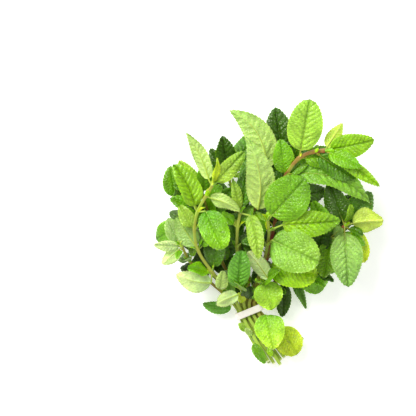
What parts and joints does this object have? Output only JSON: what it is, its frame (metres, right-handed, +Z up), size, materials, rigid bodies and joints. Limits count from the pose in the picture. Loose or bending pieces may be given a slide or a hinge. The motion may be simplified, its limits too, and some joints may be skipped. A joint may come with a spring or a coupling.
{
  "type": "tied bunch of mint sprigs",
  "caption": "Fresh mint sprigs with toothed oval leaves on square stems, tied at the neck with a flat pale band and lying on their side.",
  "frame": {"origin": "middle of the flat underside of the band, on the surface that the bunch lies on", "axes": "+Y from the neck towards the leaf tips, +X across the bunch to the right as it is looked down on, +Z up"},
  "size_m": [0.1839, 0.2145, 0.0724],
  "materials": {
    "leafy_stem": "matte",
    "band": "matte"
  },
  "bodies": {
    "root": {"sprig_front_left": "leafy_stem", "sprig_front_centre": "leafy_stem", "sprig_front_right": "leafy_stem", "sprig_front_low": "leafy_stem", "sprig_left": "leafy_stem", "sprig_tall_left": "leafy_stem", "sprig_tall_centre": "leafy_stem", "sprig_upper_right": "leafy_stem", "sprig_right": "leafy_stem", "sprig_back_left": "leafy_stem", "sprig_back_centre": "leafy_stem", "sprig_back_upper_right": "leafy_stem", "sprig_back_right": "leafy_stem", "band": "band"}
  },
  "joints": []
}
